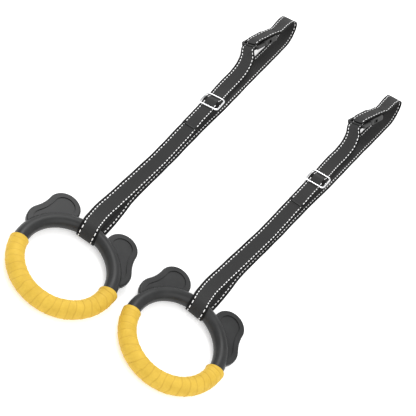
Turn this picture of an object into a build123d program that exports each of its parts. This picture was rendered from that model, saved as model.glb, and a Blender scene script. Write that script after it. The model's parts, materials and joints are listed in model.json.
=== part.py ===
"""A pair of gymnastics rings lying flat, each on a webbing loop with a wire slider and a snap buckle.

Millimetres. +Z is up, the straps run along +Y and the rings are at the -Y end. The origin is the
centre of the pair's footprint, on the surface that it lies on. Each unit is first described in its
own frame: the strap's axis is x = 0, the ring's centre is at y = 0 and the floor is z = 0.
"""

from build123d import *

import os
from math import cos, pi, radians, sin

os.makedirs("parts", exist_ok=True)

# --- driving dimensions -------------------------------------------------------------------------
GRIP_RADIUS = 14.0          # taped grip, 28 mm across
CORE_RADIUS = 11.0          # bare moulded ring
RING_RADIUS = 73.5          # centre of the hole to the centre of the tube
RING_SHIFT = 5.0            # ring centre to the right of the strap's axis
RING_YAW = 4.0              # the ring lies turned a little on its strap
TAPE_START = 189.0          # taped arc, anticlockwise from the ring's own +X
TAPE_SWEEP = 171.5
JOINT_GAP = 0.05            # between pieces moulded or stuck to each other

EAR_THICKNESS = 10.0
EAR_LOBE = (95.8, 32.9, 25.5)        # centre radius, degrees off the top, lobe radius
EAR_LOBE_LOW = (72.0, 57.0, 28.5)
EAR_NOTCH_RADIUS = 60.0
EAR_RIM = 9.0
EAR_PANEL_DEPTH = 1.4
EAR_EDGE = 2.8

WEB_WIDTH = 30.0
WEB = 1.5                   # webbing thickness
LAYER = 1.8                 # pitch of two webbing layers that lie on each other
LOFT_STEPS = 3              # sections per loft, short enough to stay clean in tight bends
LOOP_RADIUS = GRIP_RADIUS - WEB / 2
LOOP_INSET = 1.0            # the loop's axis lies inside the tube's, for the ring's curve
LOOP_TURN = 1.0             # the loop sits a little to the left of the ring's top
LOOP_DRIFT = 2.8            # and moves from right to left by twice this on its way round

SLIDER_Y = 477.0
SLIDER_Z = 11.6
SLIDER_ROLL = 16.0          # its right side lies higher, on the back run
SLIDER_WIRE = 1.5           # wire radius
SLIDER_HALF_WIDTH = 18.1    # to the wire's centre
SLIDER_HALF_LENGTH = 17.0
SLIDER_CORNER = 6.0
SLIDER_BAR_DROP = 2.0
TAIL_END_Y = 395.0          # cut end of the adjusting tail
FOLD_END_Y = 446.0

BUCKLE_CENTRE = (-10.0, 680.0, 30.0)
BUCKLE_ALONG = (13.0, 54.0, 6.0)
BUCKLE_ROLL = 36.0
BUCKLE_HALF_WIDTH = 20.5
BUCKLE_RAIL = 4.5           # side rail width beside a webbing slot
SOCKET_HALF_THICKNESS = 4.25
SOCKET_MOUTH = -8.95        # stations along the buckle, from its centre
SOCKET_DEPTH = 13.0
SOCKET_END = 28.0
SOCKET_BAR = 26.0
CAVITY_HALF_WIDTH = 16.7
CAVITY_HALF_HEIGHT = 2.9
WINDOW = (-0.4, 10.4)       # side windows for the barbs
PLUG_END = -30.8
PLUG_RAIL = -29.0
PLUG_RAIL_RADIUS = 1.5
PLUG_RAIL_LEVEL = 1.25
PLUG_BAR = -19.0
PLUG_FACE = -9.0
PLUG_WALL = 4.5
PLUG_HALF_THICKNESS = 3.2
TONGUE_HALF_WIDTH = 4.0
TONGUE_END = 11.0
ROD_RADIUS = 2.0
ROD_REACH = 19.5            # rods end inside the side rails
PRONG_ROOT = (13.8, -7.0)   # across, along: the point that it bends about
PRONG_ARM = 3.4
PRONG_HALF_HEIGHT = 2.4
PRONG_TIP = 9.8
BARB_REACH = 20.1
TACK_LENGTH = 26.0
TACK_WIDTH = 2.0
TACK_THICKNESS = 0.2
FOLD_RADIUS = 3.05          # webbing centre line round a buckle rod
FOLD_RUN = 22.0             # sewn length of the fold past the socket's rod
FOLD_LEVEL = 2.3
LIFT_Y = 768.0              # the back run leaves the floor here

UNIT_X = 93.8               # half the spacing of the two ring centres
UNIT_STAGGER = 13.3         # the right ring lies further up by twice this
UNIT_YAW = 2.65             # the straps fan out by twice this
CENTRE_X = -2.538           # footprint centre, from midway between the ring centres
CENTRE_Y = 360.957


HOME = Location((0, 0, 0))   # a unit in its own frame


def placed(at, plane):
    """A plane of the unit's own frame, moved with the unit."""
    return Plane(at * plane.location)


def across(roll):
    """Unit vector from a strap's left edge to its right edge, the right edge raised by roll."""
    return Vector(cos(radians(roll)), 0, sin(radians(roll)))


def mark(x, y, z, roll=0.0):
    """One station of a strap: a point of its centre line and its across vector."""
    return Vector(x, y, z), across(roll)


def marks_on(plane, points):
    """Stations given as (along, normal) pairs in a tilted plane's own frame."""
    return [(plane.from_local_coords(Vector(0, a, n)), plane.x_dir) for a, n in points]


def arc_points(centre, radius, start, end, steps):
    """(along, normal) points on an arc about centre, angles in degrees from +along."""
    turns = [radians(start + (end - start) * i / steps) for i in range(steps + 1)]
    return [(centre[0] + radius * cos(t), centre[1] + radius * sin(t)) for t in turns]


def ease(y0, n0, y1, n1, steps):
    """(along, normal) points of a soft step from one level to another."""
    share = [i / steps for i in range(steps + 1)]
    return [(y0 + (y1 - y0) * s, n0 + (n1 - n0) * (1 - cos(pi * s)) / 2) for s in share]


def section_planes(stations, at):
    """Planes across a strap, one per station, each with its across vector as +X."""
    planes = []
    last = len(stations) - 1
    for i, (point, side) in enumerate(stations):
        ahead = stations[min(i + 1, last)][0] - stations[max(i - 1, 0)][0]
        square = ahead - side * ahead.dot(side)
        planes.append(placed(at, Plane(origin=point, x_dir=side, z_dir=square.normalized())))
    return planes


def main_strap_planes(at):
    """The main strap in one go, cut into its four runs, which meet face to face."""
    runs = {
        "strap_hanging_loop": hanging_loop_stations()[::-1],
        "strap_back_run": back_run_stations()[-2::-1],
        "strap_ring_loop": ring_loop_stations()[1:],
        "strap_front_run": front_run_stations()[1:] + fold_stations(),
    }
    planes = section_planes(sum(runs.values(), []), at)
    cuts = {}
    first = 0
    for name, stations in runs.items():
        end = first + len(stations)
        cuts[name] = planes[max(first - 1, 0):end]
        first = end
    return cuts


def lifted(stations, gap):
    """The same run, one layer further along its own normal (forward runs only)."""
    raised = []
    for point, side in stations:
        normal = side.cross(Vector(0, 1, 0)).normalized()
        raised.append((point + normal * gap, side))
    return raised


def ring_plane(at):
    """The ring's own plane: +X to its right ear's side, +Y to its top."""
    turn = Vector(cos(radians(RING_YAW)), sin(radians(RING_YAW)), 0)
    flat = Plane(origin=(RING_SHIFT, 0, GRIP_RADIUS), x_dir=turn, z_dir=(0, 0, 1))
    return placed(at, flat)


def slider_plane(at):
    """The slider's plane through its wire, +Y along the strap."""
    normal = across(SLIDER_ROLL).cross(Vector(0, 1, 0))
    rolled = Plane(origin=(0, SLIDER_Y, SLIDER_Z), x_dir=across(SLIDER_ROLL), z_dir=normal)
    return placed(at, rolled)


def buckle_plane(at):
    """The buckle's middle plane, +Y from the plug to the socket."""
    along = Vector(*BUCKLE_ALONG).normalized()
    side = across(BUCKLE_ROLL)
    normal = side.cross(along).normalized()
    tilted = Plane(origin=BUCKLE_CENTRE, x_dir=along.cross(normal), z_dir=normal)
    return placed(at, tilted)


def save(builder, side, name):
    """Label a finished sub-part and write its STEP file."""
    builder.part.label = f"{side}_{name}"
    export_step(builder.part, f"parts/{side}_{name}.step")


# --- the ring -----------------------------------------------------------------------------------
def make_ring_core(side, at):
    """Moulded tube of the ring, all the way round under the tape."""
    plane = ring_plane(at)
    with BuildPart() as ring_core:
        with BuildSketch(Plane(plane.origin, x_dir=plane.x_dir, z_dir=-plane.y_dir)):
            with Locations((RING_RADIUS, 0)):
                Circle(CORE_RADIUS)
        revolve(axis=Axis(plane.origin, plane.z_dir))
    save(ring_core, side, "ring_core")


def make_grip_tape(side, at):
    """Wound tape over the lower half, as one sleeve."""
    plane = ring_plane(at)
    start = plane.rotated((0, 0, TAPE_START))
    with BuildPart() as grip_tape:
        with BuildSketch(Plane(start.origin, x_dir=start.x_dir, z_dir=-start.y_dir)):
            with Locations((RING_RADIUS, 0)):
                Circle(GRIP_RADIUS)
                Circle(CORE_RADIUS + JOINT_GAP, mode=Mode.SUBTRACT)
        revolve(axis=Axis(plane.origin, plane.z_dir), revolution_arc=TAPE_SWEEP)
    save(grip_tape, side, "grip_tape")


def ear_outline(hand, inset):
    """Two-lobed outline of an ear in the ring's plane, drawn smaller by inset."""
    def centre(lobe):
        angle = radians(lobe[1])
        return (hand * lobe[0] * sin(angle), lobe[0] * cos(angle))

    big, small = centre(EAR_LOBE), centre(EAR_LOBE_LOW)
    root = (hand * RING_RADIUS * sin(radians(48)), RING_RADIUS * cos(radians(48)))
    with BuildSketch(mode=Mode.PRIVATE) as outline:
        with Locations(big):
            Circle(EAR_LOBE[2])
        with Locations(small):
            Circle(EAR_LOBE_LOW[2])
        Polygon(big, small, root, align=None)
        offset(amount=EAR_NOTCH_RADIUS, kind=Kind.ARC)
        offset(amount=-EAR_NOTCH_RADIUS - inset, kind=Kind.ARC)
    return outline.sketch


def make_ear(side, at, name, hand):
    """Moulded guard plate beside the strap, with a raised rim round a sunk panel."""
    plane = ring_plane(at)
    half = EAR_THICKNESS / 2
    with BuildPart() as ear:
        with BuildSketch(plane.offset(-half)):
            add(ear_outline(hand, 0))
        extrude(amount=EAR_THICKNESS)
        fillet(ear.edges().filter_by(Axis.Z, reverse=True), EAR_EDGE)
        for level, amount in ((half, -EAR_PANEL_DEPTH), (-half, EAR_PANEL_DEPTH)):
            with BuildSketch(plane.offset(level)):
                add(ear_outline(hand, EAR_RIM))
            extrude(amount=amount, mode=Mode.SUBTRACT)
        with BuildSketch(Plane(plane.origin, x_dir=plane.x_dir, z_dir=-plane.y_dir)):
            with Locations((RING_RADIUS, 0)):
                Circle(CORE_RADIUS + JOINT_GAP)
            with Locations((RING_RADIUS / 2, 0)):
                Rectangle(RING_RADIUS, 2 * CORE_RADIUS)
        revolve(axis=Axis(plane.origin, plane.z_dir), mode=Mode.SUBTRACT)
    save(ear, side, name)


# --- the webbing --------------------------------------------------------------------------------
def make_strap(side, name, planes):
    """A run of webbing through its section planes, lofted a few at a time."""
    with BuildPart() as strap:
        for first in range(0, len(planes) - 1, LOFT_STEPS):
            with BuildPart(mode=Mode.PRIVATE) as length:
                for plane in planes[first:first + LOFT_STEPS + 1]:
                    with BuildSketch(plane):
                        Rectangle(WEB_WIDTH, WEB)
                loft(ruled=True)
            add(length.part)
    save(strap, side, name)


def ring_loop_stations():
    """Round the ring's tube, from under it, through the hole and over its top."""
    plane = ring_plane(HOME).rotated((0, 0, LOOP_TURN))
    points = arc_points((RING_RADIUS - LOOP_INSET, 0), LOOP_RADIUS, 270, 70, 16)
    last = len(points) - 1
    drift = [plane.x_dir * LOOP_DRIFT * (1 - 2 * i / last) for i in range(len(points))]
    return [(point + d, side) for (point, side), d in zip(marks_on(plane, points), drift)]


def front_run_stations():
    """From the ring's top down on to the back run and up to the slider, before its fold."""
    exit_point, exit_side = ring_loop_stations()[-1]
    run = [(exit_point, exit_side), mark(-6, 94, 21.2), mark(-7.2, 118, 15.6)]
    run += [mark(-6, 150, 10.0), mark(-4.2, 190, 5.6), mark(-1.8, 240, 3.2)]
    run += [mark(0.6, 300, 2.6), mark(1, 345, 3.2, 3), mark(1, TAIL_END_Y, 5.0, 9)]
    return run


def fold_stations():
    """Through the slider: under its lower wire, round its centre bar and back as a short end."""
    low = -SLIDER_WIRE - 0.3 - WEB / 2 - LAYER
    ring_side = -SLIDER_HALF_LENGTH
    turn = SLIDER_WIRE + 0.3 + WEB / 2
    points = [(430 - SLIDER_Y, low)]
    points += ease(ring_side, low, 0, turn - SLIDER_BAR_DROP, 6)
    points += arc_points((0, -SLIDER_BAR_DROP), turn, 90, -90, 8)[1:]
    points += ease(0, -turn - SLIDER_BAR_DROP, ring_side, low - LAYER, 4)[1:]
    points += [(FOLD_END_Y - SLIDER_Y, low - LAYER)]
    return marks_on(slider_plane(HOME), points)


def tail_stations():
    """The adjusting tail: on the front run, under the slider's wires and over its centre bar."""
    base = front_run_stations()[-1:] + fold_stations()[:1]
    low = -SLIDER_WIRE - 0.3 - WEB / 2
    high = SLIDER_WIRE + 0.3 + WEB / 2 - SLIDER_BAR_DROP + LAYER
    points = ease(-SLIDER_HALF_LENGTH, low, 0, high, 6)
    points += ease(0, high, SLIDER_HALF_LENGTH, low, 6)[1:]
    return lifted(base, LAYER) + marks_on(slider_plane(HOME), points)


def upper_run_stations():
    """From the slider up into the plug, round its bar and back as a short end."""
    run = [mark(0.3, 525, 6.0, 9), mark(0, 555, 6.0, 5), mark(-1, 582, 9.5, 7)]
    run += [mark(-4, 606, 14.5, 14), mark(-9, 628, 20.5, 25)]
    under = PLUG_RAIL_LEVEL - PLUG_RAIL_RADIUS - 0.3 - WEB / 2
    points = [(PLUG_RAIL - 3, under), (PLUG_RAIL, under)]
    points += ease(PLUG_RAIL + 2, under + 0.2, PLUG_BAR, FOLD_RADIUS, 4)[1:]
    points += arc_points((PLUG_BAR, 0), FOLD_RADIUS, 90, -90, 8)[1:]
    points += [(PLUG_BAR - 6, -FOLD_RADIUS - 0.1), (PLUG_RAIL, under - LAYER - 0.2)]
    points += [(PLUG_RAIL - 6, under - LAYER - 0.2)]
    return run + marks_on(buckle_plane(HOME), points)


def back_run_stations():
    """Flat on the floor from the ring to where the strap lifts into the hanging loop."""
    start = ring_loop_stations()[0]
    spots = [(3.6, 97), (4.2, 125), (3, 152), (1.4, 178), (1.2, 205), (2.4, 237), (4, 275)]
    spots += [(5.6, 315), (6.2, 357), (7.4, 401), (9, 444), (10.6, 474), (11.6, 510), (14.7, 640)]
    spots += [(17.6, 735), (18, LIFT_Y)]
    return [start] + [mark(x, y, WEB / 2) for x, y in spots]


def hanging_loop_stations():
    """Up, over and back down to the socket, round its bar and back as a short end."""
    run = [mark(18, LIFT_Y, WEB / 2), mark(16.4, 785, 2.6, 1), mark(14, 799, 6.4, 3)]
    run += [mark(11, 807.5, 12.2, 6), mark(8, 809, 18.8, 9), mark(5.2, 804.5, 25.2, 13)]
    run += [mark(3, 794.5, 30.8, 18), mark(1.6, 779, 34.6, 24), mark(1, 761, 36.4, 30)]
    run += [mark(1, 744, 36.8, 34)]
    level = FOLD_LEVEL
    points = [(SOCKET_BAR + FOLD_RUN, level), (SOCKET_BAR + FOLD_RUN / 2, level)]
    points += [(SOCKET_BAR + 5, FOLD_RADIUS)]
    points += arc_points((SOCKET_BAR, 0), FOLD_RADIUS, 90, 270, 8)
    points += [(SOCKET_BAR + 5, 0.6 - FOLD_RADIUS), (SOCKET_BAR + FOLD_RUN / 2, level - LAYER)]
    points += [(SOCKET_BAR + FOLD_RUN, level - LAYER)]
    return run + marks_on(buckle_plane(HOME), points)


# --- the slider ---------------------------------------------------------------------------------
def make_slider_frame(side, at):
    """Bent wire rectangle with round corners, swept as two halves."""
    plane = slider_plane(at)
    wide, long = SLIDER_HALF_WIDTH, SLIDER_HALF_LENGTH
    with BuildPart() as slider_frame:
        with BuildLine(plane) as half:
            FilletPolyline((0, -long), (wide, -long), (wide, long), (0, long), radius=SLIDER_CORNER)
        with BuildSketch(Plane(origin=half.line @ 0, z_dir=half.line % 0)):
            Circle(SLIDER_WIRE)
        sweep()
        mirror(about=Plane(plane.origin, x_dir=plane.y_dir, z_dir=plane.x_dir))
    save(slider_frame, side, "slider_frame")


def make_slider_bar(side, at):
    """Centre bar welded under the two long sides of the wire."""
    plane = slider_plane(at)
    start = plane.from_local_coords(Vector(-SLIDER_HALF_WIDTH, 0, -SLIDER_BAR_DROP))
    with BuildPart() as slider_bar:
        with BuildSketch(Plane(origin=start, z_dir=plane.x_dir)):
            Circle(SLIDER_WIRE)
        extrude(amount=2 * SLIDER_HALF_WIDTH)
    save(slider_bar, side, "slider_bar")


# --- the buckle ---------------------------------------------------------------------------------
def rod_end(plane, along, level, radius):
    """Round section at the left end of a rod that runs across the buckle."""
    start = plane.from_local_coords(Vector(-ROD_REACH, along, level))
    with BuildSketch(Plane(origin=start, z_dir=plane.x_dir)) as end:
        Circle(radius)
    return end.sketch


def block_base(plane, half_width, a0, a1, half_thickness, corner=0.0):
    """Lower face of a block of the buckle between two stations along it."""
    with BuildSketch(plane.offset(-half_thickness)) as base:
        with Locations((0, (a0 + a1) / 2)):
            if corner:
                RectangleRounded(2 * half_width, a1 - a0, corner)
            else:
                Rectangle(2 * half_width, a1 - a0)
    return base.sketch


def make_buckle_socket(side, at):
    """Housing that takes the plug, with a side window for each prong and a rod for the strap."""
    plane = buckle_plane(at)
    slot = BUCKLE_HALF_WIDTH - BUCKLE_RAIL
    body = (plane, BUCKLE_HALF_WIDTH, SOCKET_MOUTH, SOCKET_END, SOCKET_HALF_THICKNESS, 3)
    cavity = (plane, CAVITY_HALF_WIDTH, SOCKET_MOUTH - 1, SOCKET_DEPTH, CAVITY_HALF_HEIGHT)
    windows = (plane, BUCKLE_HALF_WIDTH + 1, *WINDOW, CAVITY_HALF_HEIGHT)
    strap_slot = (plane, slot, SOCKET_DEPTH + 4, SOCKET_END + 1, SOCKET_HALF_THICKNESS + 1)
    with BuildPart() as buckle_socket:
        extrude(block_base(*body), amount=2 * SOCKET_HALF_THICKNESS)
        for space in (cavity, windows, strap_slot):
            extrude(block_base(*space), amount=2 * space[-1], mode=Mode.SUBTRACT)
        extrude(rod_end(plane, SOCKET_BAR, 0, ROD_RADIUS), amount=2 * ROD_REACH)
    save(buckle_socket, side, "buckle_socket")


def make_buckle_plug(side, at):
    """Frame with the strap's end rail and lock bar, and a guide tongue into the socket."""
    plane = buckle_plane(at)
    slot = BUCKLE_HALF_WIDTH - BUCKLE_RAIL
    body = (plane, BUCKLE_HALF_WIDTH, PLUG_END, PLUG_FACE, PLUG_HALF_THICKNESS, 3)
    strap_slot = (plane, slot, PLUG_END - 1, PLUG_FACE - PLUG_WALL, PLUG_HALF_THICKNESS + 1)
    tongue = (plane, TONGUE_HALF_WIDTH, PLUG_FACE - 1, TONGUE_END, ROD_RADIUS)
    with BuildPart() as buckle_plug:
        extrude(block_base(*body), amount=2 * PLUG_HALF_THICKNESS)
        extrude(block_base(*strap_slot), amount=2 * strap_slot[-1], mode=Mode.SUBTRACT)
        extrude(block_base(*tongue), amount=2 * ROD_RADIUS)
        extrude(rod_end(plane, PLUG_BAR, 0, ROD_RADIUS), amount=2 * ROD_REACH)
        rail = rod_end(plane, PLUG_RAIL, PLUG_RAIL_LEVEL, PLUG_RAIL_RADIUS)
        extrude(rail, amount=2 * ROD_REACH)
    save(buckle_plug, side, "buckle_plug")


def make_prong(side, at, name, hand):
    """Sprung arm of the plug, whose barb shows in the socket's side window."""
    plane = buckle_plane(at)
    root_x, root_y = PRONG_ROOT
    with BuildPart() as prong:
        with BuildSketch(plane.offset(-PRONG_HALF_HEIGHT)):
            with Locations((hand * root_x, root_y)):
                Circle(PRONG_ARM / 2)
            with BuildLine():
                outline = [(root_x - PRONG_ARM / 2, root_y), (root_x - PRONG_ARM / 2, PRONG_TIP - 1.5),
                           (root_x, PRONG_TIP), (BARB_REACH - 1.2, PRONG_TIP - 3), (BARB_REACH, 3.2),
                           (BARB_REACH - 1.6, 0.2), (root_x + PRONG_ARM / 2, 0.2),
                           (root_x + PRONG_ARM / 2, root_y)]
                Polyline(*[(hand * x, y) for x, y in outline], close=True)
            make_face()
        extrude(amount=2 * PRONG_HALF_HEIGHT)
    save(prong, side, name)


# --- stitching that holds the folds -------------------------------------------------------------
def make_bar_tacks(side, at, name, spots):
    """Rows of thread between the layers of sewn folds, each at (plane, along, level)."""
    with BuildPart() as bar_tacks:
        for plane, along, level in spots:
            with BuildSketch(plane.offset(level - TACK_THICKNESS / 2)):
                with Locations((0, along)):
                    Rectangle(TACK_LENGTH, TACK_WIDTH)
            extrude(amount=TACK_THICKNESS)
    save(bar_tacks, side, name)


def slider_tack(at):
    """The row that closes the main strap's fold at the slider."""
    low = -SLIDER_WIRE - 0.3 - WEB / 2 - LAYER
    return [(slider_plane(at), FOLD_END_Y + 5 - SLIDER_Y, low - LAYER / 2)]


def buckle_tacks(at):
    """The rows that close the folds at the plug and at the socket."""
    under = PLUG_RAIL_LEVEL - PLUG_RAIL_RADIUS - 0.3 - WEB / 2
    return [
        (buckle_plane(at), PLUG_RAIL + 0.5, under - LAYER / 2 - 0.1),
        (buckle_plane(at), SOCKET_BAR + 0.75 * FOLD_RUN, FOLD_LEVEL - LAYER / 2),
    ]


UNITS = (("left", -1), ("right", 1))
for side, hand in UNITS:
    ring_centre = (hand * UNIT_X - CENTRE_X, hand * UNIT_STAGGER - CENTRE_Y, 0)
    at = Location(ring_centre, (0, 0, -hand * UNIT_YAW)) * Location((-RING_SHIFT, 0, 0))
    make_ring_core(side, at)
    make_grip_tape(side, at)
    make_ear(side, at, "left_ear", -1)
    make_ear(side, at, "right_ear", 1)
    for name, planes in main_strap_planes(at).items():
        make_strap(side, name, planes)
    adjusting = section_planes(tail_stations() + upper_run_stations(), at)
    make_strap(side, "adjusting_strap", adjusting)
    make_bar_tacks(side, at, "slider_tack", slider_tack(at))
    make_bar_tacks(side, at, "buckle_tacks", buckle_tacks(at))
    make_slider_frame(side, at)
    make_slider_bar(side, at)
    make_buckle_socket(side, at)
    make_buckle_plug(side, at)
    make_prong(side, at, "left_prong", -1)
    make_prong(side, at, "right_prong", 1)
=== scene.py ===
"""Looks for a pair of gymnastics rings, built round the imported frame.

The small geometry is worked out in each unit's own frame in millimetres, as the CAD describes it:
x = 0 is the strap's axis, y = 0 the ring's centre and z = 0 the floor. Unit.world() moves it into
the row frame in metres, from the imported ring's box and the slider joint's axis.
"""

import json
from math import cos, pi, radians, sin, tau

import bpy
import numpy as np
from mathutils import Matrix, Vector, noise


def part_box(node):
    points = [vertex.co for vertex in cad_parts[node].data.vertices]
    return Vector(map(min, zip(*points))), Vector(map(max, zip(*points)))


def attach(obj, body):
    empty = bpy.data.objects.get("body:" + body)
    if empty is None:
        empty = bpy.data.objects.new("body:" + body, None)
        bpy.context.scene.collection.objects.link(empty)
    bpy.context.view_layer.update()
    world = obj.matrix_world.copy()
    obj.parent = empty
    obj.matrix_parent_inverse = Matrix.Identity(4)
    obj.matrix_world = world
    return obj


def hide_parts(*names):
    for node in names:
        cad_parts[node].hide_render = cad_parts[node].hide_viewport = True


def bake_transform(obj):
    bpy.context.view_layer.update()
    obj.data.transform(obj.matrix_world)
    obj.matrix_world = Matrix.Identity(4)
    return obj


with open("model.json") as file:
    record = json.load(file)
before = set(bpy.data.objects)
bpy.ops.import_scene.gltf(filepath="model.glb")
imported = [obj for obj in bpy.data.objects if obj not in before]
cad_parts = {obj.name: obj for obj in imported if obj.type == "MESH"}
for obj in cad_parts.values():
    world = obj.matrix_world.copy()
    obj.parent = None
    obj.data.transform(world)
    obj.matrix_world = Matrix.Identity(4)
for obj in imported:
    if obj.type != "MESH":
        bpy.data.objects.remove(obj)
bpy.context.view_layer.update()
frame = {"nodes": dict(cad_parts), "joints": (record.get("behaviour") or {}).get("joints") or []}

MM = 0.001
SIDES = ("left", "right")

# --- the CAD's own dimensions, in millimetres -----------------------------------------------------
GRIP_RADIUS, CORE_RADIUS, RING_RADIUS = 14.0, 11.0, 73.5
RING_SHIFT, RING_YAW = 5.0, 4.0
TAPE_START, TAPE_SWEEP = 189.0, 171.5
WEB_WIDTH, WEB, LAYER = 30.0, 1.5, 1.8
LOOP_RADIUS = GRIP_RADIUS - WEB / 2
LOOP_INSET, LOOP_TURN, LOOP_DRIFT, LIFT_Y = 1.0, 1.0, 2.8, 768.0
SLIDER_Y, SLIDER_Z, SLIDER_ROLL = 477.0, 11.6, 16.0
SLIDER_WIRE, SLIDER_HALF_LENGTH, SLIDER_BAR_DROP = 1.5, 17.0, 2.0
TAIL_END_Y, FOLD_END_Y = 395.0, 446.0
BUCKLE_CENTRE, BUCKLE_ALONG, BUCKLE_ROLL = (-10.0, 680.0, 30.0), (13.0, 54.0, 6.0), 36.0
SOCKET_BAR, PLUG_RAIL, PLUG_RAIL_RADIUS, PLUG_RAIL_LEVEL, PLUG_BAR = 26.0, -29.0, 1.5, 1.25, -19.0
FOLD_RADIUS, FOLD_RUN, FOLD_LEVEL = 3.05, 22.0, 2.3

# --- stitching and tape ---------------------------------------------------------------------------
STITCH_LINE = 10.75       # from the webbing's middle
STITCH_PITCH = 7.95
STITCH_LENGTH = 5.0
STITCH_WIDTH = 1.7
STITCH_HEIGHT = 0.5
STITCH_LEVEL = 0.62         # a stitch's middle line above the webbing's
FIRST_STITCH, COVER_FIRST_STITCH = 1.5, 3.0     # where the rows start along a strap
TAPE_TURNS = 20
TAPE_THICKNESS = 0.55
TAPE_ROWS, TAPE_COLUMNS = 420, 128

# --- where each strap passes from one body to the next, as unit y ---------------------------------
FRONT_RUN_BLEND = ("strap", "slider", 200.0, 425.0)
TAIL_BLEND = ("strap", "slider", TAIL_END_Y, 464.0)
UPPER_RUN_BLEND = ("slider", "strap", 498.0, 600.0)
BAR_TOP_LEVEL = 2.35        # the adjusting strap over the slider's bar

# --- camera and light -----------------------------------------------------------------------------
CAMERA_PLACE, CAMERA_LENS = (0.05427, -1.183486, 1.1222), 83.08
CAMERA_ELEVATION, CAMERA_ROLL, CAMERA_TURN = 45.785, 38.82, 2.65
KEY_LIGHT = ("key", (-0.9, 0.7, 1.9), 1.2, 24)         # name, place, size, watts
FILL_LIGHT = ("fill", (1.1, -0.9, 1.6), 1.6, 12)
WORLD_STRENGTH, FLOOR_GLOW, FLOOR_REACH, FLOOR_DROP = 0.95, 0.34, 6.0, 0.0003


# --- frames ---------------------------------------------------------------------------------------
def unit_vector(v):
    v = np.asarray(v, float)
    return v / np.linalg.norm(v)


def across(roll):
    """A strap's direction from its left edge to its right one, the right edge raised by roll."""
    return np.array([cos(radians(roll)), 0.0, sin(radians(roll))])


class Frame3:
    """A plane of the unit's frame: x across, y along, z its normal."""

    def __init__(self, origin, x, z):
        self.origin = np.asarray(origin, float)
        self.x, self.z = unit_vector(x), unit_vector(z)
        self.y = np.cross(self.z, self.x)

    def at(self, points):
        points = np.asarray(points, float)
        return self.origin + points @ np.array([self.x, self.y, self.z])


def slider_frame():
    side = across(SLIDER_ROLL)
    return Frame3((0, SLIDER_Y, SLIDER_Z), side, np.cross(side, (0, 1, 0)))


def buckle_frame():
    along = unit_vector(BUCKLE_ALONG)
    normal = np.cross(across(BUCKLE_ROLL), along)
    return Frame3(BUCKLE_CENTRE, np.cross(along, normal), normal)


def ring_frame(turn=0.0):
    yaw = radians(RING_YAW + turn)
    return Frame3((RING_SHIFT, 0, GRIP_RADIUS), (cos(yaw), sin(yaw), 0), (0, 0, 1))


class Unit:
    """One ring with its strap: where it lies in the row frame, and its bodies' names."""

    def __init__(self, side):
        self.side = side
        low, high = (np.array(v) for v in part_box(f"{side}_ring_core"))
        slide = next(j for j in frame["joints"] if j["name"] == f"{side}_slider_slide")
        along = unit_vector(slide["axis"])
        self.axes = np.array([np.cross(along, (0, 0, 1)), along, (0, 0, 1)])
        centre = (low + high) / 2
        self.origin = np.array([centre[0], centre[1], 0.0]) - self.axes[0] * RING_SHIFT * MM

    def world(self, points):
        return self.origin + np.asarray(points, float) * MM @ self.axes

    def body(self, name):
        return f"{self.side}_{name}_body"

    def node(self, name):
        return f"{self.side}_{name}"


# --- stations of the straps, as the CAD has them --------------------------------------------------
def mark(x, y, z, roll=0.0):
    return np.array([x, y, z], float), across(roll)


def marks_on(plane, points):
    return [(plane.at((0, a, n)), plane.x) for a, n in points]


def arc_points(centre, radius, start, end, steps):
    turns = [radians(start + (end - start) * i / steps) for i in range(steps + 1)]
    return [(centre[0] + radius * cos(t), centre[1] + radius * sin(t)) for t in turns]


def ease(y0, n0, y1, n1, steps):
    share = [i / steps for i in range(steps + 1)]
    return [(y0 + (y1 - y0) * s, n0 + (n1 - n0) * (1 - cos(pi * s)) / 2) for s in share]


def lifted(stations, gap):
    return [(p + unit_vector(np.cross(s, (0, 1, 0))) * gap, s) for p, s in stations]


def ring_loop_stations():
    plane = ring_frame(LOOP_TURN)
    points = arc_points((RING_RADIUS - LOOP_INSET, 0), LOOP_RADIUS, 270, 70, 16)
    share = np.linspace(1, -1, len(points))
    return [(p + plane.x * LOOP_DRIFT * k, x) for (p, x), k in zip(marks_on(plane, points), share)]


def front_run_stations():
    run = [ring_loop_stations()[-1], mark(-6, 94, 21.2), mark(-7.2, 118, 15.6)]
    run += [mark(-6, 150, 10.0), mark(-4.2, 190, 5.6), mark(-1.8, 240, 3.2)]
    return run + [mark(0.6, 300, 2.6), mark(1, 345, 3.2, 3), mark(1, TAIL_END_Y, 5.0, 9)]


def fold_stations():
    low = -SLIDER_WIRE - 0.3 - WEB / 2 - LAYER
    ring_side = -SLIDER_HALF_LENGTH
    turn = SLIDER_WIRE + 0.3 + WEB / 2
    points = [(430 - SLIDER_Y, low)]
    points += ease(ring_side, low, 0, turn - SLIDER_BAR_DROP, 6)
    points += arc_points((0, -SLIDER_BAR_DROP), turn, 90, -90, 8)[1:]
    points += ease(0, -turn - SLIDER_BAR_DROP, ring_side, low - LAYER, 4)[1:]
    return marks_on(slider_frame(), points + [(FOLD_END_Y - SLIDER_Y, low - LAYER)])


def tail_stations():
    base = front_run_stations()[-1:] + fold_stations()[:1]
    low = -SLIDER_WIRE - 0.3 - WEB / 2
    high = SLIDER_WIRE + 0.3 + WEB / 2 - SLIDER_BAR_DROP + LAYER
    points = ease(-SLIDER_HALF_LENGTH, low, 0, high, 6)
    points += ease(0, high, SLIDER_HALF_LENGTH, low, 6)[1:]
    return lifted(base, LAYER) + marks_on(slider_frame(), points)


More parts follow.
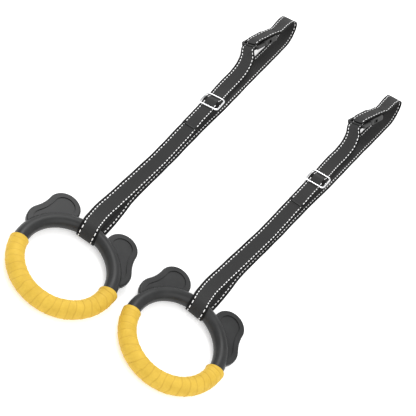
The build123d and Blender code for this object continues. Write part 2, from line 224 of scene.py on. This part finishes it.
def upper_run_stations():
    run = [mark(0.3, 525, 6.0, 9), mark(0.6, 555, 6.0, 5), mark(1.2, 582, 9.5, 7)]
    run += [mark(-0.5, 606, 14.5, 14), mark(-6.5, 628, 20.5, 25)]
    under = PLUG_RAIL_LEVEL - PLUG_RAIL_RADIUS - 0.3 - WEB / 2
    points = [(PLUG_RAIL - 3, under), (PLUG_RAIL, under)]
    points += ease(PLUG_RAIL + 2, under + 0.2, PLUG_BAR, FOLD_RADIUS, 4)[1:]
    points += arc_points((PLUG_BAR, 0), FOLD_RADIUS, 90, -90, 8)[1:]
    points += [(PLUG_BAR - 6, -FOLD_RADIUS - 0.1), (PLUG_RAIL, under - LAYER - 0.2)]
    return run + marks_on(buckle_frame(), points + [(PLUG_RAIL - 6, under - LAYER - 0.2)])


def back_run_stations():
    spots = [(3.6, 97), (4.2, 125), (3, 152), (1.4, 178), (1.2, 205), (2.4, 237), (4, 275)]
    spots += [(5.6, 315), (6.2, 357), (7.4, 401), (9, 444), (10.6, 474), (11.6, 510), (14.7, 640)]
    spots += [(17.6, 735), (18, LIFT_Y)]
    return [ring_loop_stations()[0]] + [mark(x, y, WEB / 2) for x, y in spots]


def hanging_loop_stations():
    run = [mark(18, LIFT_Y, WEB / 2), mark(16.4, 785, 2.6, 1), mark(14, 799, 6.4, 3)]
    run += [mark(11, 807.5, 12.2, 6), mark(8, 809, 18.8, 9), mark(5.2, 804.5, 25.2, 13)]
    run += [mark(3, 794.5, 30.8, 18), mark(1.6, 779, 34.6, 24), mark(1, 761, 36.4, 30)]
    run += [mark(1, 744, 36.8, 34)]
    level = FOLD_LEVEL
    points = [(SOCKET_BAR + FOLD_RUN, level), (SOCKET_BAR + FOLD_RUN / 2, level)]
    points += [(SOCKET_BAR + 5, FOLD_RADIUS)]
    points += arc_points((SOCKET_BAR, 0), FOLD_RADIUS, 90, 270, 8)
    points += [(SOCKET_BAR + 5, 0.6 - FOLD_RADIUS), (SOCKET_BAR + FOLD_RUN / 2, level - LAYER)]
    return run + marks_on(buckle_frame(), points + [(SOCKET_BAR + FOLD_RUN, level - LAYER)])


def buckle_cover_stations():
    """A short end of webbing sewn on the hanging loop, lying over the buckle."""
    points = [(46.0, 4.15), (40.0, 4.2), (34.0, 4.8), (28.0, 5.6), (19.0, 6.0), (6.0, 6.3)]
    points += [(-7.0, 6.9), (-14.0, 6.8), (-19.0, 6.1), (-23.0, 5.2), (-26.0, 4.3)]
    return marks_on(buckle_frame(), points)


# --- smooth strap paths ---------------------------------------------------------------------------
class StrapPath:
    """A smooth line through the stations, and the frame at any distance along it."""

    def __init__(self, stations, step=0.5):
        knots = np.array([np.r_[p, s] for p, s in stations])
        gaps = np.linalg.norm(np.diff(knots[:, :3], axis=0), axis=1)
        keep = np.r_[True, gaps > 1e-6]
        knots, gaps = knots[keep], gaps[gaps > 1e-6]
        at = np.r_[0, np.cumsum(gaps)]
        slope = np.gradient(knots, at, axis=0)
        lines = []
        for i, gap in enumerate(gaps):
            t = np.linspace(0, 1, max(3, int(gap / step)), endpoint=False)[:, None]
            a, b = knots[i], knots[i + 1]
            lines.append((2 * t**3 - 3 * t**2 + 1) * a + (t**3 - 2 * t**2 + t) * gap * slope[i]
                         + (3 * t**2 - 2 * t**3) * b + (t**3 - t**2) * gap * slope[i + 1])
        line = np.vstack(lines + [knots[-1:]])
        self.points = line[:, :3]
        self.s = np.r_[0, np.cumsum(np.linalg.norm(np.diff(self.points, axis=0), axis=1))]
        self.length = self.s[-1]
        tangent = np.gradient(self.points, self.s, axis=0)
        tangent /= np.linalg.norm(tangent, axis=1)[:, None]
        normal = np.cross(line[:, 3:], tangent)
        self.normal = normal / np.linalg.norm(normal, axis=1)[:, None]
        self.side = line[:, 3:]
        self.tangent = tangent

    def at(self, s, v, h):
        """Points at distance s along, v across and h off the middle of the webbing."""
        s, v, h = np.broadcast_arrays(s, v, h)

        def along(values):
            return np.stack([np.interp(s, self.s, values[:, k]) for k in range(3)], -1)

        side, normal = along(self.side), along(self.normal)
        side /= np.linalg.norm(side, axis=-1, keepdims=True)
        normal /= np.linalg.norm(normal, axis=-1, keepdims=True)
        return along(self.points) + side * v[..., None] + normal * h[..., None]

    def nearest(self, point):
        return self.s[np.argmin(np.linalg.norm(self.points - point, axis=1))]

    def sections(self, start, end, fine=1.2, coarse=4.0):
        """Distances along it, close together where it bends."""
        turn = np.linalg.norm(np.gradient(self.tangent, self.s, axis=0), axis=1)
        out, s = [start], start
        while s < end:
            near = np.interp(s, self.s, turn)
            s = min(s + np.clip(0.08 / max(near, 1e-6), fine if near > 0.02 else 2.0, coarse), end)
            out.append(s)
        return np.array(out)


# --- meshes ---------------------------------------------------------------------------------------
def new_object(name, points, faces, material, unit=None, uv=None, smooth=True):
    """A mesh object, its points given in the unit's frame."""
    mesh = bpy.data.meshes.new(name)
    points = unit.world(points) if unit else np.asarray(points)
    mesh.from_pydata(points.tolist(), [], [list(map(int, f)) for f in faces])
    mesh.validate()
    if uv is not None:
        layer = mesh.uv_layers.new(name="Cloth")
        index = np.zeros(len(mesh.loops), int)
        mesh.loops.foreach_get("vertex_index", index)
        layer.data.foreach_set("uv", np.asarray(uv, np.float32)[index].ravel())
    mesh.polygons.foreach_set("use_smooth", [smooth] * len(mesh.polygons))
    mesh.materials.append(material)
    obj = bpy.data.objects.new(name, mesh)
    bpy.context.scene.collection.objects.link(obj)
    return obj


def grid_faces(rows, columns, wrap_rows=False, wrap_columns=False, first=0):
    """Quads over a grid of points numbered row by row."""
    r = np.arange(rows if wrap_rows else rows - 1)
    c = np.arange(columns if wrap_columns else columns - 1)
    r, c = (a.ravel() for a in np.meshgrid(r, c, indexing="ij"))
    r1, c1 = (r + 1) % rows, (c + 1) % columns
    quads = [r * columns + c, r * columns + c1, r1 * columns + c1, r1 * columns + c]
    return (np.stack(quads, 1) + first).tolist()


def web_profile():
    """Section of the webbing: round selvages and a shallow channel under each stitch line."""
    half = [(15.0, 0.0), (14.92, 0.34), (14.65, 0.6), (14.2, 0.74), (13.2, 0.75), (11.7, 0.75)]
    half += [(10.75, 0.6), (9.8, 0.75), (8.6, 0.75), (5.8, 0.75), (2.9, 0.75)]
    top = half + [(0.0, 0.75)] + [(-v, h) for v, h in half[::-1]]
    return np.array(top + [(v, -h) for v, h in top[-2:0:-1]])


def make_ribbon(name, unit, path, start, end, material):
    """A length of webbing along a strap path."""
    profile = web_profile()
    s = path.sections(start, end)
    wave = 0.12 * np.sin(s / 9.0) + 0.1 * np.sin(s / 23.0 + 1.3)
    points = path.at(s[:, None], profile[None, :, 0] + wave[:, None], profile[None, :, 1])
    rows, columns = points.shape[:2]
    faces = grid_faces(rows, columns, wrap_columns=True)
    faces.append(list(range(columns)))
    faces.append(list(range(rows * columns - 1, (rows - 1) * columns - 1, -1)))
    uv = np.zeros((rows, columns, 2))
    uv[..., 0], uv[..., 1] = profile[None, :, 0] * MM, s[:, None] * MM
    return new_object(name, points.reshape(-1, 3), faces, material, unit, uv.reshape(-1, 2))


def make_stitches(name, unit, path, start, end, material, phase=0.0, lines=(-1, 1)):
    """Rounded dashes of thread on both faces, in a line near each edge."""
    around = np.arange(8) / 8 * tau
    stop = np.array([-0.94, -0.72, -0.3, 0.0, 0.3, 0.72, 0.94])
    wide = np.sqrt(1 - stop**4)
    first = np.ceil((start - phase + STITCH_LENGTH / 2) / STITCH_PITCH) * STITCH_PITCH + phase
    middles = np.arange(first, end - STITCH_LENGTH / 2, STITCH_PITCH)
    points, faces = [], []
    rng = np.random.default_rng(len(name))
    for line in lines:
        for face in (1, -1):
            for middle in middles:
                base = len(points) * 58
                jitter = rng.normal(0, 0.12, 2)
                s = middle + jitter[0] + stop[:, None] * STITCH_LENGTH / 2
                v = line * STITCH_LINE + jitter[1] + wide[:, None] * cos_(around) * STITCH_WIDTH / 2
                h = face * (STITCH_LEVEL + wide[:, None] * sin_(around) * STITCH_HEIGHT)
                ring = path.at(s + 0 * v, v, h).reshape(-1, 3)
                tips = path.at(middle + jitter[0] + np.array([-1, 1]) * STITCH_LENGTH / 2,
                               line * STITCH_LINE + jitter[1], face * 0.6)
                points.append(np.vstack([ring, tips]))
                quads = grid_faces(7, 8, wrap_columns=True, first=base)
                ends = [[base + (k + 1) % 8, base + k, base + 56] for k in range(8)]
                ends += [[base + 48 + k, base + 48 + (k + 1) % 8, base + 57] for k in range(8)]
                found = quads + ends
                faces += found if face > 0 else [f[::-1] for f in found]
    return new_object(name, np.vstack(points), faces, material, unit)


def cos_(a):
    return np.cos(a)[None, :]


def sin_(a):
    return np.sin(a)[None, :]


# --- the grip tape --------------------------------------------------------------------------------
def make_tape(name, unit, material, seed):
    """Tape wound round the lower half of the ring, each turn lying on the one before."""
    rng = np.random.default_rng(seed)
    plane = ring_frame()
    widths = rng.uniform(0.82, 1.2, TAPE_TURNS + 2)
    widths[0] = 2.4
    edges = np.r_[-widths[0], 0, np.cumsum(widths[1:])]
    edges = (edges - edges[1] + 0.3) / (edges[-2] - edges[1]) * TAPE_SWEEP
    edges[0] -= 20
    turn_lift = rng.uniform(0.75, 1.25, TAPE_TURNS + 6)
    rows, columns = TAPE_ROWS, TAPE_COLUMNS
    theta = np.linspace(0, TAPE_SWEEP, rows)
    phi = np.arange(columns) / columns * tau
    index = np.interp(theta, edges, np.arange(len(edges)))
    radius = np.zeros((rows, columns))
    crease_shade = np.zeros((rows, columns))
    for i in range(rows):
        for j in range(columns):
            low_side = 0.5 - 0.5 * sin(phi[j])
            outer = 0.5 + 0.5 * cos(phi[j])
            slack = 0.25 + 0.75 * max(outer * 0.8, low_side * outer ** 0.5)
            spot = Vector((theta[i] * 0.11, cos(phi[j]) * 0.8, sin(phi[j]) * 0.8 + seed))
            bend = noise.noise(spot) * 0.3
            q = index[i] - phi[j] / tau + bend + 1.0
            turn, f = int(q // 1), q % 1.0
            lift = TAPE_THICKNESS * turn_lift[turn % len(turn_lift)]
            step = min(f / 0.05, 1.0)
            h = lift * (step * (1 - 0.85 * f) - 0.15)
            smooth_start = min(max((theta[i] - 16) / 20, 0.15), 1.0)
            fold_at = Vector((q * 5.0 + seed, cos(phi[j]) * 1.1, sin(phi[j]) * 1.1))
            fold = 1 - abs(noise.noise(fold_at)) * 2.6
            small = 1 - abs(noise.noise(fold_at * 2.3 + Vector((9, 3, 1)))) * 2.4
            fine = 1 - abs(noise.noise(fold_at * 5.1 + Vector((2, 7, 5)))) * 2.4
            wrinkle = max(fold, 0) ** 3 * 0.5 + max(small, 0) ** 3 * 0.26 + max(fine, 0) ** 2 * 0.1
            h += wrinkle * slack * smooth_start * 1.05
            h += noise.noise(Vector((theta[i] * 0.05, phi[j] * 0.2, seed))) * 0.25
            radius[i, j] = GRIP_RADIUS - 0.75 + h
            # crease_shade is painted shade: darkest where one turn steps onto the next, plus darkening
            # in the small wrinkle folds, stronger on the slack outer side
            crease_shade[i, j] = max(0.0, 1 - min(f, 1 - f) / 0.1) * 0.8 + (1 - max(small, 0)) * 0.2 * slack
    flare = np.exp(-((theta[-1] - theta) / 2.2) ** 2) * 0.9 + np.exp(-(theta / 1.6) ** 2) * 0.45
    radius += flare[:, None]
    skin = CORE_RADIUS + 0.02
    edge_in = np.full((1, columns), skin)
    radius = np.vstack([edge_in, radius[:1] - 0.35, radius, radius[-1:] - 0.35, edge_in])
    lean = 1.1 * np.sin(phi + 0.6) + 0.5 * np.sin(2 * phi)
    theta = np.r_[theta[0], theta[0], theta, theta[-1], theta[-1]]
    theta = theta[:, None] + np.exp(-((TAPE_SWEEP - theta[:, None]) / 6) ** 2) * lean[None] * 0.6
    inner = np.full((rows // 6, columns), skin)
    inner_theta = np.linspace(TAPE_SWEEP, 0, rows // 6 + 2)[1:-1, None] + np.zeros((1, columns))
    radius, theta = np.vstack([radius, inner]), np.vstack([theta, inner_theta])
    a = np.radians(TAPE_START + theta)
    reach = RING_RADIUS + radius * np.cos(phi)
    points = np.stack([reach * np.cos(a), reach * np.sin(a), radius * np.sin(phi)], -1)
    obj = new_object(name, plane.at(points.reshape(-1, 3)),
                     grid_faces(len(radius), columns, wrap_rows=True, wrap_columns=True), material, unit)
    shade = np.zeros(radius.shape)
    shade[2:rows + 2] = crease_shade
    # the painted shade per point, read by the tape material
    layer = obj.data.attributes.new("crease_shade", "FLOAT", "POINT")
    layer.data.foreach_set("value", shade.astype(np.float32).ravel())
    return obj


# --- materials ------------------------------------------------------------------------------------
class Mat:
    """A Principled material with short calls to add nodes."""

    def __init__(self, name, **sockets):
        self.material = bpy.data.materials.new(name)
        self.material.use_nodes = True
        self.nodes = self.material.node_tree.nodes
        self.links = self.material.node_tree.links
        self.shader = self.nodes["Principled BSDF"]
        for key, value in sockets.items():
            self.shader.inputs[key.replace("_", " ")].default_value = value

    def add(self, kind, inputs=None, **settings):
        node = self.nodes.new(kind)
        for key, value in settings.items():
            setattr(node, key, value)
        for key, value in (inputs or {}).items():
            if isinstance(value, bpy.types.NodeSocket):
                self.links.new(value, node.inputs[key])
            else:
                node.inputs[key].default_value = value
        return node

    def math(self, operation, a, b=0.0, c=0.0):
        node = self.add("ShaderNodeMath", {0: a, 1: b, 2: c}, operation=operation)
        return node.outputs[0]

    def mix(self, factor, a, b):
        node = self.add("ShaderNodeMix", data_type="RGBA")
        for key, value in (("Factor", factor), ("A", a), ("B", b)):
            socket = next(s for s in node.inputs if s.name == key and s.enabled)
            if isinstance(value, bpy.types.NodeSocket):
                self.links.new(value, socket)
            else:
                socket.default_value = value
        return next(s for s in node.outputs if s.enabled)

    def noise(self, scale, detail=3.0, roughness=0.5, vector=None):
        inputs = {"Scale": scale, "Detail": detail, "Roughness": roughness}
        if vector is not None:
            inputs["Vector"] = vector
        return self.add("ShaderNodeTexNoise", inputs).outputs["Fac"]

    def place(self):
        return self.add("ShaderNodeTexCoord").outputs["Object"]

    def ramp(self, value, low, high, a=0.0, b=1.0):
        inputs = {"Value": value, "From Min": low, "From Max": high, "To Min": a, "To Max": b}
        return self.add("ShaderNodeMapRange", inputs, clamp=True).outputs[0]

    def bump(self, height, distance, strength=1.0, under=None):
        inputs = {"Height": height, "Distance": distance, "Strength": strength}
        if under is not None:
            inputs["Normal"] = under
        return self.add("ShaderNodeBump", inputs).outputs[0]

    def set(self, **sockets):
        for key, value in sockets.items():
            self.links.new(value, self.shader.inputs[key.replace("_", " ")])


def grey(value, warm=0.0):
    return (value * (1 + warm), value, value * (1 - warm), 1)


def moulded_plastic():
    m = Mat("moulded_ring_plastic", Specular_IOR_Level=0.3)
    place = m.place()
    cloud = m.noise(38.0, 3.0, 0.55, place)
    grain = m.noise(2600.0, 2.0, 0.6, place)
    scuff = m.ramp(m.noise(160.0, 5.0, 0.75, place), 0.6, 0.8)
    colour = m.mix(m.ramp(cloud, 0.3, 0.7), grey(0.013, -0.03), grey(0.022, -0.02))
    m.set(Base_Color=m.mix(m.math("MULTIPLY", scuff, 0.35), colour, grey(0.035)),
          Roughness=m.math("ADD", m.ramp(cloud, 0.3, 0.7, 0.34, 0.46), m.math("MULTIPLY", scuff, 0.1)),
          Normal=m.bump(grain, 0.00004, 0.35))
    return m.material


def tape_cloth():
    m = Mat("grip_tape_cloth", Specular_IOR_Level=0.3)
    place = m.place()
    crease_shade = m.add("ShaderNodeAttribute", attribute_name="crease_shade").outputs["Fac"]
    cloud = m.noise(60.0, 4.0, 0.6, place)
    grain = m.noise(1500.0, 3.0, 0.6, place)
    base = m.mix(m.ramp(cloud, 0.3, 0.7), (0.58, 0.37, 0.038, 1), (0.68, 0.45, 0.055, 1))
    # painted shade: the tape colour is darkened toward a deep brown where the turns overlap and in the
    # wrinkle folds
    shade = m.math("MULTIPLY", m.ramp(crease_shade, 0.1, 1.0), 0.45)
    m.set(Base_Color=m.mix(shade, base, (0.36, 0.19, 0.012, 1)),
          Roughness=m.ramp(grain, 0.3, 0.7, 0.55, 0.7),
          Normal=m.bump(grain, 0.00008, 0.35))
    return m.material


def web_cloth():
    m = Mat("webbing_cloth", Specular_IOR_Level=0.15)
    m.shader.inputs["Sheen Weight"].default_value = 0.06
    m.shader.inputs["Sheen Roughness"].default_value = 0.5
    uv = m.add("ShaderNodeUVMap", uv_map="Cloth").outputs[0]
    split = m.add("ShaderNodeSeparateXYZ", {0: uv})
    v, s = split.outputs[0], split.outputs[1]
    side = m.math("ABSOLUTE", v)
    warp = m.math("SINE", m.math("MULTIPLY", v, tau / 0.0014))
    weft = m.math("SINE", m.math("MULTIPLY", s, tau / 0.002))
    over = m.math("MULTIPLY", warp, weft)
    cord = m.math("ABSOLUTE", m.math("SINE", m.math("MULTIPLY", v, tau / 0.0028)))
    height = m.math("ADD", m.math("MULTIPLY", over, 0.5), m.math("MULTIPLY", cord, 0.6))
    fuzz = m.noise(900.0, 3.0, 0.7, m.place())
    cloud = m.noise(30.0, 3.0, 0.6, m.place())
    edge = m.ramp(side, 0.0092, 0.0097)
    body = m.mix(m.ramp(over, -0.8, 0.9), grey(0.013), grey(0.038))
    body = m.mix(m.math("MULTIPLY", m.ramp(fuzz, 0.45, 0.75), 0.35), body, grey(0.06))
    body = m.mix(m.math("MULTIPLY", m.ramp(cloud, 0.4, 0.7), 0.2), body, grey(0.022))
    border = m.mix(m.ramp(over, -0.8, 0.9), grey(0.002), grey(0.007))
    m.set(Base_Color=m.mix(edge, body, border), Roughness=m.ramp(fuzz, 0.3, 0.7, 0.75, 0.92),
          Normal=m.bump(height, 0.00014, 0.6, m.bump(fuzz, 0.0001, 0.3)))
    return m.material


def thread(name, light, dark, rough=0.6):
    m = Mat(name, Specular_IOR_Level=0.35)
    place = m.place()
    ply = m.noise(2200.0, 2.0, 0.5, place)
    m.set(Base_Color=m.mix(m.ramp(ply, 0.35, 0.65), dark, light),
          Roughness=m.ramp(ply, 0.3, 0.7, rough, rough + 0.15),
          Normal=m.bump(ply, 0.0001, 0.5))
    return m.material


def plated_wire():
    m = Mat("bright_plated_wire", Metallic=1.0)
    place = m.place()
    stain = m.noise(140.0, 4.0, 0.6, place)
    scratch = m.noise(900.0, 4.0, 0.7, place)
    m.set(Base_Color=m.mix(m.ramp(stain, 0.35, 0.75), (0.86, 0.87, 0.89, 1), (0.95, 0.95, 0.95, 1)),
          Roughness=m.ramp(stain, 0.35, 0.75, 0.1, 0.22), Normal=m.bump(scratch, 0.00003, 0.25))
    return m.material


def buckle_plastic():
    m = Mat("buckle_acetal", Specular_IOR_Level=0.5)
    place = m.place()
    grain = m.noise(1900.0, 2.0, 0.6, place)
    rub = m.ramp(m.noise(220.0, 4.0, 0.7, place), 0.55, 0.8)
    m.set(Base_Color=m.mix(m.math("MULTIPLY", rub, 0.4), grey(0.014), grey(0.035)),
          Roughness=m.ramp(rub, 0.0, 1.0, 0.36, 0.5), Normal=m.bump(grain, 0.00005, 0.4))
    return m.material


def floor_paint():
    m = Mat("pale_floor", Roughness=0.9, Specular_IOR_Level=0.1, Emission_Color=grey(1.0),
            Emission_Strength=FLOOR_GLOW)
    speck = m.noise(40.0, 3.0, 0.5, m.place())
    m.set(Base_Color=m.mix(speck, grey(0.9), grey(0.93)))
    return m.material


# --- build ----------------------------------------------------------------------------------------
WEBBING = web_cloth()
STITCHING = thread("white_edge_thread", grey(0.95), grey(0.72))
BLACK_THREAD = thread("black_tack_thread", grey(0.03), grey(0.01), 0.55)
TAPE = tape_cloth()
PLASTIC = moulded_plastic()
CHROME = plated_wire()
ACETAL = buckle_plastic()
NODE_FINISH = {
    "ring_core": PLASTIC, "left_ear": PLASTIC, "right_ear": PLASTIC, "slider_frame": CHROME,
    "slider_bar": CHROME, "buckle_socket": ACETAL, "buckle_plug": ACETAL, "left_prong": ACETAL,
    "right_prong": ACETAL, "slider_tack": BLACK_THREAD, "buckle_tacks": BLACK_THREAD,
    "grip_tape": TAPE, "strap_hanging_loop": WEBBING, "strap_back_run": WEBBING,
    "strap_ring_loop": WEBBING, "strap_front_run": WEBBING, "adjusting_strap": WEBBING,
}


def finish_nodes(unit):
    for name, material in NODE_FINISH.items():
        mesh = frame["nodes"][unit.node(name)].data
        mesh.materials.clear()
        mesh.materials.append(material)


def lay_strap(unit, name, line, start, end, phase, bodies):
    """A ribbon and its stitches, attached to one body; given two bodies and two y, they are only baked
    in place and attached to neither.
    """
    ribbon = make_ribbon(unit.node(name), unit, line, start, end, WEBBING)
    stitches = make_stitches(unit.node(name + "_stitches"), unit, line, start, end, STITCHING, phase)
    for piece, slot in ((ribbon, "webbing"), (stitches, "edge_stitching")):
        if len(bodies) == 1:
            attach(piece, unit.body(bodies[0]))
        else:
            a, b, y0, y1 = bodies
            spots = [tuple(unit.world((0, y, 0))) for y in (y0, y1)]
            unit.body(a)
            unit.body(b)
            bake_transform(piece)
    return ribbon


def make_webbing(unit):
    """The main strap, its front run up to the slider, and the adjusting strap."""
    runs = hanging_loop_stations()[::-1] + back_run_stations()[-2::-1] + ring_loop_stations()[1:]
    runs += front_run_stations()[1:] + fold_stations()
    path = StrapPath(runs)
    split = path.nearest(ring_loop_stations()[0][0])
    straps = (
        ("main_strap", path, 0.0, split, ("strap",), ("strap_hanging_loop", "strap_back_run")),
        ("front_run", path, split, path.length, FRONT_RUN_BLEND,
         ("strap_ring_loop", "strap_front_run")),
    )
    upper = StrapPath(tail_stations() + upper_run_stations())
    middle = upper.nearest(slider_frame().at((0, 0, BAR_TOP_LEVEL)))
    straps += (
        ("adjusting_tail", upper, 0.0, middle, TAIL_BLEND, ("adjusting_strap",)),
        ("adjusting_run", upper, middle, upper.length, UPPER_RUN_BLEND, ("adjusting_strap",)),
    )
    for name, line, start, end, bodies, nodes in straps:
        ribbon = lay_strap(unit, name, line, start, end, FIRST_STITCH, bodies)
        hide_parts(*[unit.node(n) for n in nodes])
    cover = StrapPath(buckle_cover_stations())
    lay_strap(unit, "buckle_cover", cover, 0.0, cover.length, COVER_FIRST_STITCH, ("strap",))


for number, side in enumerate(SIDES):
    unit = Unit(side)
    finish_nodes(unit)
    make_webbing(unit)
    tape = make_tape(unit.node("wound_tape"), unit, TAPE, 11 + number * 6)
    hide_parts(unit.node("grip_tape"))
    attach(tape, unit.body("ring"))


# --- floor, light and camera ----------------------------------------------------------------------
def add_floor():
    corners = [(x * FLOOR_REACH, y * FLOOR_REACH, 0) for x, y in ((-1, -1), (1, -1), (1, 1), (-1, 1))]
    floor = new_object("floor", corners, [[0, 1, 2, 3]], floor_paint(), smooth=False)
    floor.location.z = -FLOOR_DROP


def add_area(name, place, size, power):
    """A square light aimed at the row's centre."""
    light = bpy.data.lights.new(name, "AREA")
    light.shape, light.size, light.energy = "SQUARE", size, power
    obj = bpy.data.objects.new(name, light)
    obj.location = place
    obj.rotation_euler = (-Vector(place)).to_track_quat("-Z", "Y").to_euler()
    bpy.context.scene.collection.objects.link(obj)


def add_camera():
    """From the rings' end, looking down, rolled so that the straps run up to the right."""
    elevation, roll = radians(CAMERA_ELEVATION), radians(CAMERA_ROLL)
    level = Vector((1, 0, 0))
    rise = Vector((0, sin(elevation), cos(elevation)))
    right = cos(roll) * level + sin(roll) * rise
    up = -sin(roll) * level + cos(roll) * rise
    back = Vector((0, -cos(elevation), sin(elevation)))
    axes = Matrix((right, up, back)).transposed().to_4x4()
    camera = bpy.data.cameras.new("camera")
    camera.lens, camera.sensor_width, camera.clip_end = CAMERA_LENS, 36.0, 50.0
    obj = bpy.data.objects.new("camera", camera)
    turn = Matrix.Rotation(radians(CAMERA_TURN), 4, "Z")
    obj.matrix_world = Matrix.Translation(CAMERA_PLACE) @ turn @ axes
    bpy.context.scene.collection.objects.link(obj)
    bpy.context.scene.camera = obj


def add_world():
    world = bpy.data.worlds.new("studio")
    world.use_nodes = True
    background = world.node_tree.nodes["Background"]
    background.inputs["Color"].default_value = (1, 1, 1, 1)
    background.inputs["Strength"].default_value = WORLD_STRENGTH
    bpy.context.scene.world = world
    bpy.context.scene.view_settings.view_transform = "Standard"


add_floor()
add_world()
add_area(*KEY_LIGHT)
add_area(*FILL_LIGHT)
add_camera()

bpy.context.view_layer.update()
